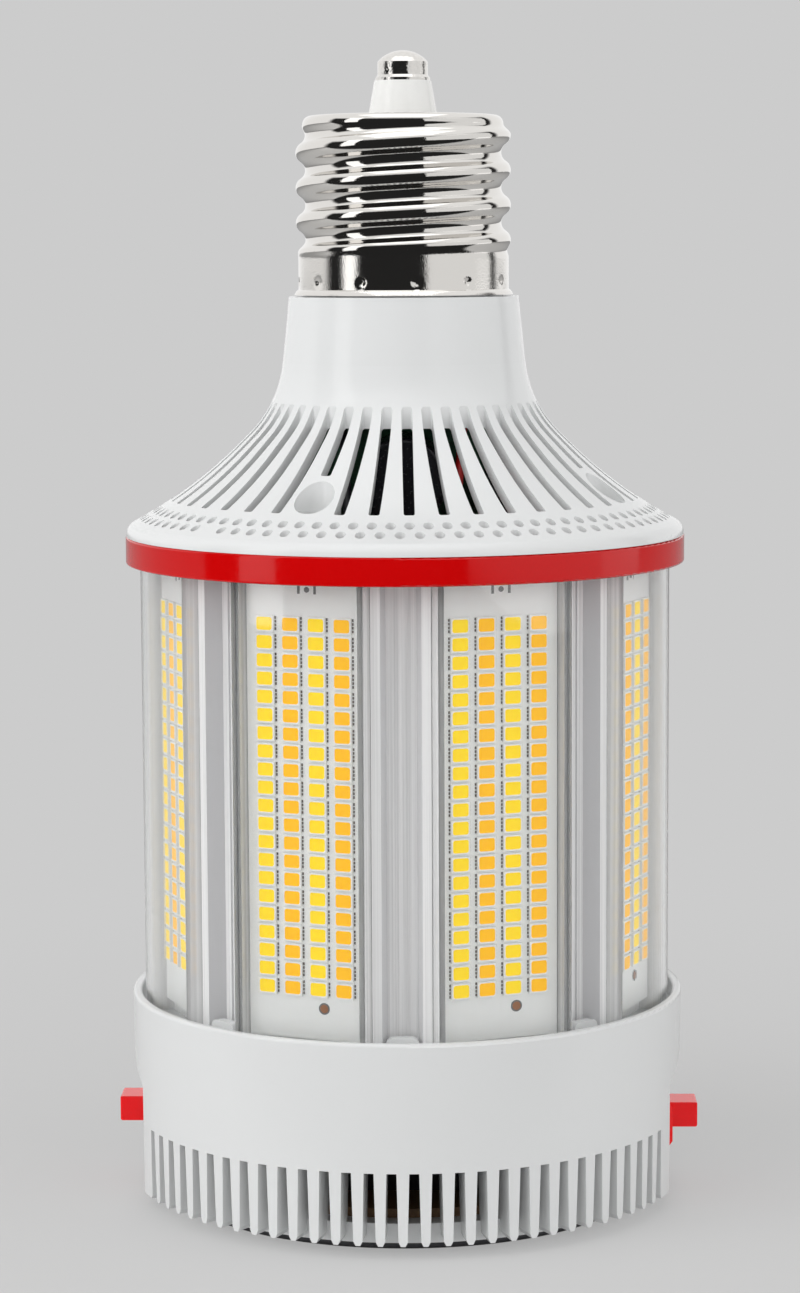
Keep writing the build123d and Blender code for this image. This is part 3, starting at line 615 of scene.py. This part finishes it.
def rolled_shell(materials):
    """The screw shell with its rolled thread, crimp dimples and rounded end."""
    straight_top = SHELL_TOP - TOP_ROUNDING
    count = round((straight_top - SHELL_BOTTOM) / SHELL_STEP)
    levels = [SHELL_BOTTOM + (straight_top - SHELL_BOTTOM) * i / count for i in range(count + 1)]
    azimuths = [tau * i / SHELL_COLUMNS for i in range(SHELL_COLUMNS)]
    rings = [[(thread_radius(a, level), level) for a in azimuths] for level in levels]
    for i in range(1, TOP_ROUNDING_STEPS + 1):
        turn = pi / 2 * i / TOP_ROUNDING_STEPS
        inset = TOP_ROUNDING * (1 - cos(turn))
        level = straight_top + TOP_ROUNDING * sin(turn)
        rings.append([(thread_radius(a, straight_top) - inset, level) for a in azimuths])
    inside = [
        (SHELL_HOLE, SHELL_TOP),
        (SHELL_HOLE, SHELL_TOP - SHELL_WALL),
        (THREAD_ROOT - SHELL_WALL, SHELL_TOP - SHELL_WALL),
        (THREAD_ROOT - SHELL_WALL, SKIRT_TOP),
        (SKIRT_INSIDE, SKIRT_TOP - SHELL_WALL),
        (SKIRT_INSIDE, SHELL_BOTTOM),
    ]
    rings += [[point] * SHELL_COLUMNS for point in inside]
    made = Builder(materials["nickel"], materials["nickel_skirt"])
    for ring in rings:
        made.corners += [(r * sin(a), -r * cos(a), z) for a, (r, z) in zip(azimuths, ring)]
    for lower in range(len(rings)):
        first = lower * SHELL_COLUMNS
        second = (lower + 1) % len(rings) * SHELL_COLUMNS
        for i in range(SHELL_COLUMNS):
            j = (i + 1) % SHELL_COLUMNS
            made.faces.append((first + i, first + j, second + j, second + i))
    skirt_faces = SHELL_COLUMNS * sum(level < SKIRT_TOP for level in levels)
    made.kinds = [1] * skirt_faces + [0] * (len(made.faces) - skirt_faces)
    piece = made.piece("rolled_screw_shell", "lamp", "nickel", smooth=True)
    piece.data.set_sharp_from_angle(angle=SHARP_ANGLE)
    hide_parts("screw_shell")


# Stage


def make_world():
    """Plain grey as light; in what shines, pale behind and above and dark towards the camera."""
    world = bpy.data.worlds.new("studio")
    bpy.context.scene.world = world
    world.use_nodes = True
    tree = world.node_tree
    place = make_node(tree, "TexCoord").outputs["Generated"]
    behind = share_towards(tree, place, PALE_SIDE, PALE_SIDE_EDGE)
    above = share_towards(tree, place, UP, PALE_TOP_EDGE)
    pale = scalar_math(tree, "MAXIMUM", behind, above)
    shine = mix_colours(tree, pale, grey(DARK_SHINE), grey(PALE_SHINE))
    path = make_node(tree, "LightPath").outputs
    light = mix_colours(tree, path["Is Glossy Ray"], grey(ROOM_LIGHT), shine)
    light = mix_colours(tree, path["Is Transmission Ray"], light, grey(BEHIND_COVERS))
    light = mix_colours(tree, path["Is Camera Ray"], light, grey(BACKGROUND))
    tree.links.new(light, tree.nodes["Background"].inputs["Color"])


def floor_material():
    """Keeps the object's shadow near it, has the background's tone further off, and is dark
    towards the camera in what shines."""
    material, tree, shader = start_material("floor")
    colour = (*grey(FLOOR_COLOUR), 1)
    feed_named(tree, shader, Base_Color=colour, Roughness=1.0, Specular_IOR_Level=0.0)
    place = make_node(tree, "TexCoord").outputs["Object"]
    path = make_node(tree, "LightPath").outputs
    through = path["Is Transmission Ray"]
    tone = mix_colours(tree, through, grey(BACKGROUND), grey(BEHIND_COVERS))
    glow = make_node(tree, "Emission", tone).outputs["Emission"]
    away = vector_scalar(tree, "LENGTH", place)
    fade = rescale(tree, away, *SHADOW_EDGE, SHADOW_GLOW, 1.0, curve="SMOOTHSTEP")
    seen = scalar_math(tree, "MAXIMUM", path["Is Camera Ray"], through)
    glow_share = scalar_math(tree, "MULTIPLY", fade, seen)
    plain = mix_shaders(tree, glow_share, shader.outputs["BSDF"], glow)
    ahead = share_towards(tree, place, AHEAD, DARK_FLOOR_EDGE)
    reflected = scalar_math(tree, "SUBTRACT", path["Is Glossy Ray"], through, use_clamp=True)
    dim = make_node(tree, "Emission", (*grey(DARK_SHINE), 1)).outputs["Emission"]
    dim_share = scalar_math(tree, "MULTIPLY", ahead, reflected)
    show(tree, mix_shaders(tree, dim_share, plain, dim))
    return material


def make_floor():
    mesh = bpy.data.meshes.new("floor")
    h = FLOOR_HALF
    mesh.from_pydata([(-h, -h, 0), (h, -h, 0), (h, h, 0), (-h, h, 0)], [], [(0, 1, 2, 3)])
    mesh.materials.append(floor_material())
    floor = bpy.data.objects.new("floor", mesh)
    bpy.context.scene.collection.objects.link(floor)


def softbox(name, azimuth, elevation, distance, width, height, radiance, in_shine):
    """A rectangular lamp that faces the middle of the object."""
    lamp = bpy.data.lights.new(name, "AREA")
    lamp.shape = "RECTANGLE"
    lamp.size = width
    lamp.size_y = height
    lamp.energy = radiance * pi * width * height
    made = bpy.data.objects.new(name, lamp)
    a, e = radians(azimuth), radians(elevation)
    towards = Vector((sin(a) * cos(e), -cos(a) * cos(e), sin(e)))
    middle = (cad_box[0] + cad_box[1]) / 2
    made.location = middle + towards * distance
    made.rotation_mode = "QUATERNION"
    made.rotation_quaternion = towards.to_track_quat("Z", "Y")
    made.visible_camera = False
    made.visible_glossy = in_shine
    bpy.context.scene.collection.objects.link(made)


def make_camera():
    data = bpy.data.cameras.new("camera")
    data.sensor_width = SENSOR
    data.lens = FOCAL_PIXELS / IMAGE_HEIGHT * SENSOR
    camera = bpy.data.objects.new("camera", data)
    turn = Matrix.Rotation(CAMERA_TURN, 4, "Z")
    tilt = Matrix.Rotation(pi / 2 - CAMERA_TILT, 4, "X")
    roll = Matrix.Rotation(CAMERA_ROLL, 4, "Z")
    camera.matrix_world = Matrix.Translation(CAMERA_PLACE) @ turn @ tilt @ roll
    bpy.context.scene.collection.objects.link(camera)
    bpy.context.scene.camera = camera


bpy.context.scene.view_settings.view_transform = "Standard"
make_camera()
make_world()
make_floor()
for lamp_name, lamp_settings in SOFTBOXES.items():
    softbox(lamp_name, *lamp_settings)
finishes = make_materials()
dress_frame(finishes)
rolled_shell(finishes)
for panel in range(1, PANEL_COUNT + 1):
    led_array(panel, finishes)
    board_marks(panel, finishes)
